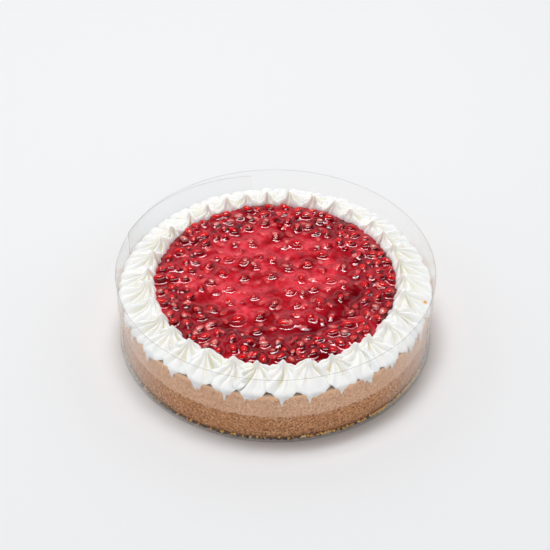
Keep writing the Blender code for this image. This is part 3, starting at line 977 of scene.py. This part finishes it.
def star_piece(number, centre_deg, twist, height, drip, rng, material):
    """One piped star: sharp ridges from a pulled tip to the foot, with drips over the cake's edge."""
    name = f"piped_star_{number:02d}"
    turn = math.radians(centre_deg)
    outward = Vector((math.cos(turn), math.sin(turn), 0.0))
    sideways = Vector((-math.sin(turn), math.cos(turn), 0.0))
    lean = outward * rng.uniform(-1.0, 1.0) * STAR_LEAN[0] + sideways * rng.uniform(-1.0, 1.0) * STAR_LEAN[1]
    curl = rng.uniform(*STAR_CURL)
    shift = Vector((rng.uniform(0.0, 9.0), rng.uniform(0.0, 9.0), rng.uniform(0.0, 9.0)))
    valley_sizes = [rng.uniform(*VALLEY_SIZES) for _ in range(STAR_RIDGES)]
    edges = [ridge + rng.uniform(-1.0, 1.0) * STAR_SPACING for ridge in range(STAR_RIDGES)]
    edges.append(edges[0] + STAR_RIDGES)
    tip = (rng.uniform(*STAR_TIP_SHARES), rng.uniform(*STAR_TIP_RADII), rng.uniform(*STAR_TIP_POWERS))
    ridge_lengths = [rng.uniform(*RIDGE_LENGTHS) for _ in range(STAR_RIDGES)]
    main = 2.0 * math.pi * edges[0] / STAR_RIDGES + twist
    main -= STAR_FAN * math.sin(main)
    main_deg = centre_deg + rim_degrees(rim_distance(main), main)
    drips = [(main_deg, drip + DRIP_EXTRA, DRIP_HALF_WIDTH * rng.uniform(*DRIP_WIDTHS))]
    for sign in (-1.0, 1.0):
        side_deg = main_deg + sign * rng.uniform(*SIDE_DRIP_DEG)
        length = rng.uniform(*SIDE_DRIP_LENGTHS)
        drips.append((side_deg, length, DRIP_HALF_WIDTH * rng.uniform(*SIDE_DRIP_WIDTHS)))
    skirt = rng.uniform(*SKIRT_LENGTHS)
    front = held((-outward.y - ARCH_FRONT[0]) / (ARCH_FRONT[1] - ARCH_FRONT[0]))
    arches = [(rng.uniform(*ARCH_DEG), rng.uniform(*ARCH_SIZES) * front) for _ in range(2)]
    inset_outer = GROOVE_INSET * (0.35 + 0.65 * front)

    spokes = []
    for column in range(STAR_COLUMNS):
        step = column / STAR_COLUMNS * STAR_RIDGES
        step = (step - edges[0]) % STAR_RIDGES + edges[0]
        ridge = max(i for i in range(STAR_RIDGES) if edges[i] <= step)
        after = (ridge + 1) % STAR_RIDGES
        between = (step - edges[ridge]) / (edges[ridge + 1] - edges[ridge])
        valley = (2.0 * min(between, 1.0 - between)) ** VALLEY_POWER
        size = valley_sizes[ridge]
        long = ridge_lengths[ridge] * (1.0 - between) + ridge_lengths[after] * between
        angle = 2.0 * math.pi * column / STAR_COLUMNS + twist
        direction = angle - STAR_FAN * math.sin(angle)
        faces_out = math.cos(direction) > OUTWARD_FROM
        if faces_out:
            long = max(long, 1.0)
        inset = inset_outer + (INNER_INSET - inset_outer) * (0.5 - 0.5 * math.cos(direction))
        full = rim_distance(direction) * long * (1.0 - inset * valley * size)
        cut = arch_cut(rim_degrees(full, direction), arches) if faces_out else 0.0
        spokes.append((direction, full, cut, valley * size))

    points = []
    grooves = []
    for row in range(1, STAR_ROWS + 1):
        for direction, full, cut, groove in spokes:
            share = (row / STAR_ROWS) ** STAR_ROW_POWER * (1.0 - cut)
            distance = share * full
            swung = direction + curl * (1.0 - share) ** 2
            flat = outward * (STAR_PEAK_RADIUS + distance * math.cos(swung))
            flat += sideways * (distance * math.sin(swung)) + lean * (1.0 - share) ** 2
            local = star_height(height, share, direction, distance, tip)
            deepest = GROOVE_DEPTH * min(1.0, share / GROOVE_START) ** GROOVE_POWER
            sink = groove * min(deepest, GROOVE_LEAVES * local)
            lump = STAR_LUMP * noise.noise(flat * LUMP_RATE + shift) * math.sin(math.pi * share)
            radius = min(max(flat.length, CREAM_INNER_RADIUS), CREAM_OUTER_RADIUS)
            flat *= radius / flat.length
            points.append(Vector((flat.x, flat.y, max(STAR_BASE, STAR_BASE + local - sink + lump))))
            # Painted shade in the grooves, fading in from the tip and out towards the foot
            grooves.append(groove * min(1.0, share / SHADE_START) * held((SHADE_END - share) / SHADE_FADE))
    rim = points[-STAR_COLUMNS:]
    under = [under_rings(point, centre_deg, drips, skirt, shift) for point in rim]
    for level in range(UNDER_RINGS):
        for point, rings in zip(rim, under):
            radius, z = rings[level]
            scale = radius / math.hypot(point.x, point.y)
            points.append(Vector((point.x * scale, point.y * scale, z)))
    peak = outward * STAR_PEAK_RADIUS + lean
    peak.z = STAR_BASE + height + STAR_FOOT + RIM_STEP
    points.append(peak)
    grooves += [0.0] * (len(points) - len(grooves))
    rows = STAR_ROWS + UNDER_RINGS
    faces = ring_faces(rows, STAR_COLUMNS)
    for column in range(STAR_COLUMNS):
        faces.append((len(points) - 1, column, (column + 1) % STAR_COLUMNS))
    faces.append([(rows - 1) * STAR_COLUMNS + column for column in range(STAR_COLUMNS)])
    mesh = mesh_of(name, points, faces)
    store(mesh, "groove", grooves)
    add_piece(name, mesh, [material], [f"cream_star_{number:02d}"])


def cream_border(material):
    """The ring of piped stars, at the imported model's own places and heights."""
    rng = random.Random(STAR_SEED)
    detail = random.Random(STAR_SEED + 1)
    evenly = [FIRST_STAR_DEG + i * (360.0 / STAR_COUNT) for i in range(STAR_COUNT)]
    angles = [degrees + rng.uniform(-1.0, 1.0) * STAR_JITTER_DEG for degrees in evenly]
    for i, centre in enumerate(angles):
        twist = math.radians(rng.uniform(-1.0, 1.0) * STAR_TWIST_DEG)
        height = STAR_PEAK - STAR_BASE - STAR_FOOT - rng.uniform(0.0, STAR_PEAK_SPREAD)
        drip = rng.uniform(DRIP_SHORTEST, DRIP_LONGEST)
        star_piece(i + 1, centre, twist, height, drip, detail, material)


def film_radius(travel_deg):
    """The strip's outer radius: its first stretch lies inside its own far end."""
    lapped = COLLAR_RADIUS - FILM_THICKNESS - GAP
    out = held((travel_deg - LAP_LENGTH_DEG - LAP_CLEARANCE_DEG) / LAP_BLEND_DEG)
    ease = out * out * (3.0 - 2.0 * out)
    return lapped + (COLLAR_RADIUS - lapped) * ease


def film_piece(face, edge):
    """The clear strip round the cake, with its own thickness and a cut edge that shows."""
    steps = round((360.0 + LAP_LENGTH_DEG) / FILM_STEP_DEG)
    points = []
    for i in range(steps + 1):
        travel = i * (360.0 + LAP_LENGTH_DEG) / steps
        short = max(0.0, 1.0 - travel / LAP_DROP_LENGTH_DEG)
        top = COLLAR_HEIGHT - LAP_DROP * short
        for height in (0.0, top):
            points.append(on_circle(film_radius(travel), LAP_START_DEG + travel, height))
    faces = [(2 * i, 2 * i + 2, 2 * i + 3, 2 * i + 1) for i in range(steps)]
    mesh = bpy.data.meshes.new("film_collar")
    mesh.from_pydata(points, [], faces)
    mesh.shade_smooth()
    strip = bpy.data.objects.new("film_strip", mesh)
    bpy.context.scene.collection.objects.link(strip)
    for material in (face, edge):
        mesh.materials.append(material)
    wall = strip.modifiers.new("thickness", "SOLIDIFY")
    wall.thickness = FILM_THICKNESS
    wall.offset = -1.0
    wall.material_offset_rim = 1
    solid = finished_mesh(strip)
    bpy.data.objects.remove(strip, do_unlink=True)
    # Clearing the materials forgets which faces are the cut edge, so those are put back
    slots = [polygon.material_index for polygon in solid.polygons]
    solid.materials.clear()
    solid.set_sharp_from_angle(angle=math.radians(40.0))
    add_piece("film_collar", solid, [face, edge], ["acetate_collar"])
    solid.polygons.foreach_set("material_index", slots)


def loose_crumbs(tree, dark, golden):
    """Crumbs between the cake's foot and the film, mostly dark, some toasted gold, and a few in the cream."""
    rng = random.Random(CRUMB_SEED)
    crumb = drop_mesh("crumb_grain", 5, 3, 0.0012, 0.0010, 0.1, 0.15)
    for name, kind, finish in (("foot_crumbs", FOOT_CRUMBS, dark), ("golden_crumbs", GOLDEN_CRUMBS, golden)):
        count, sizes, offsets, lifts = kind
        rows = []
        for _ in range(count):
            size = rng.uniform(*sizes)
            radius = CRUST_RADIUS + rng.uniform(*offsets)
            anywhere = rng.random() < GOLDEN_SPREAD or finish is dark
            degrees = rng.uniform(0.0, 360.0) if anywhere else rng.uniform(*GOLDEN_ARC_DEG)
            place = on_circle(radius, degrees, CRUMB_HALF * size + rng.uniform(*lifts))
            turn = tuple(rng.uniform(0.0, 6.28) for _ in range(3))
            rows.append((place, turn, (size, size * rng.uniform(0.6, 1.0), size * 0.8)))
        if finish is golden:
            for degrees, radius, height, sizes in LODGED_CRUMBS:
                rows.append((on_circle(radius, degrees, height), (0.0, 0.0, 0.0), sizes))
        placed(name, crumb.copy(), rows, tree, finish)


def make_floor(material):
    """A wide pale floor under the cake."""
    bpy.ops.mesh.primitive_plane_add(size=FLOOR_WIDTH, location=(0.0, 0.0, FLOOR_HEIGHT))
    floor = bpy.context.object
    floor.name = "floor"
    floor.data.materials.append(material)


def make_key_light():
    """One soft oblong light high behind the cake, turned to its middle."""
    azimuth, elevation = (math.radians(angle) for angle in KEY_DIRECTION)
    lamp = bpy.data.lights.new("key", "AREA")
    lamp.shape = "RECTANGLE"
    lamp.size, lamp.size_y = KEY_SIZE
    lamp.energy = KEY_WATTS
    item = bpy.data.objects.new("key", lamp)
    bpy.context.scene.collection.objects.link(item)
    level = math.cos(elevation)
    away = Vector((level * math.cos(azimuth), level * math.sin(azimuth), math.sin(elevation)))
    item.location = away * KEY_DISTANCE
    item.rotation_euler = away.to_track_quat("Z", "Y").to_euler()


def make_studio():
    """A studio of bright walls under a dim ceiling, with surroundings of their own for what is glossy."""
    world = bpy.data.worlds.new("studio")
    bpy.context.scene.world = world
    world.use_nodes = True
    tree = world.node_tree
    place = tree.nodes.new("ShaderNodeTexCoord")
    split = tree.nodes.new("ShaderNodeSeparateXYZ")
    tree.links.new(place.outputs["Generated"], split.inputs["Vector"])
    across, up = split.outputs["Y"], split.outputs["Z"]
    shade = ramp_node(tree, up, WALL_STOPS)
    open_front = range_node(tree, across, *FRONT_EDGE, FRONT_SHARE, 1.0)
    dimmed = mix_node(tree, 1.0, shade, open_front, "MULTIPLY")
    band = range_node(tree, up, *MIRROR_BAND, MIRROR_LOW, 1.0)
    above = range_node(tree, up, *MIRROR_TOP, 1.0, MIRROR_CEILING)
    bright = mix_node(tree, 1.0, band, above, "MULTIPLY")
    mirrored = mix_node(tree, 1.0, bright, MIRROR_COLOUR, "MULTIPLY")
    aim = tree.nodes.new("ShaderNodeVectorMath")
    aim.operation = "DOT_PRODUCT"
    tree.links.new(place.outputs["Generated"], aim.inputs[0])
    aim.inputs[1].default_value = SPARKLE_DIRECTION
    sparkle = range_node(tree, aim.outputs["Value"], *SPARKLE_EDGE)
    mirrored = mix_node(tree, sparkle, mirrored, SPARKLE_COLOUR)
    ray = tree.nodes.new("ShaderNodeLightPath")
    seen = mix_node(tree, ray.outputs["Is Glossy Ray"], dimmed, mirrored)
    tree.links.new(seen, tree.nodes["Background"].inputs["Color"])
    tree.nodes["Background"].inputs["Strength"].default_value = 1.0
    make_key_light()
    bpy.context.scene.view_settings.view_transform = "Standard"


def make_camera():
    """The photograph's viewpoint, turned about its own axis by the fitted roll."""
    lens = bpy.data.cameras.new("camera")
    lens.sensor_width = SENSOR_MM
    lens.lens = CAMERA_LENS_MM
    lens.clip_end = 50.0
    camera = bpy.data.objects.new("camera", lens)
    bpy.context.scene.collection.objects.link(camera)
    down = math.radians(90.0 - CAMERA_ELEVATION_DEG)
    back = Vector((0.0, -math.sin(down), math.cos(down)))
    pose = Matrix.Rotation(down, 4, "X") @ Matrix.Rotation(math.radians(CAMERA_ROLL_DEG), 4, "Z")
    pose.translation = LOOK_AT + back * CAMERA_DISTANCE
    camera.matrix_world = pose
    bpy.context.scene.camera = camera


make_camera()
make_studio()
make_floor(plain_material("pale_floor", Base_Color=FLOOR_COLOUR, Roughness=0.9, Specular_IOR_Level=0.0))
cake_layer(
    "pressed_crumb_base", CRUST_RADIUS, CRUST_LOW.z, CRUST_TOP, CRUMB_CORNER, CRUMB_RELIEF,
    cake_material("pressed_crumb", 0.85, 0.2), "crumb_base",
)
cake_layer(
    "baked_filling", FILLING_RADIUS + FILLING_SWELL, CRUST_TOP + FILLING_LIFT, FILLING_TOP, FILLING_CORNER,
    FILLING_RELIEF, cake_material("baked_filling", 0.7, 0.35), "cheesecake_filling",
)
tree = placing_tree()
arils, sunk = lay_arils()
jelly_piece(arils, sunk, jelly_material())
aril_pieces(arils, tree, aril_material(), grain_material("pale_seed", 150.0, SEED_STOPS, 0.5))
cream_border(cream_material())
# Crumbs at the foot, near black as painted shade in the gap as well
dark = grain_material("dark_crumb_and_foot_shade", 420.0, DARK_CRUMB_STOPS, 0.6)
golden = grain_material("golden_crumb", 300.0, GOLDEN_CRUMB_STOPS, 0.6)
loose_crumbs(tree, dark, golden)
film_edge = plain_material("film_edge", Base_Color=FILM_EDGE_TINT, Roughness=0.3, Alpha=1.0, IOR=1.3)
film_piece(film_material(), film_edge)
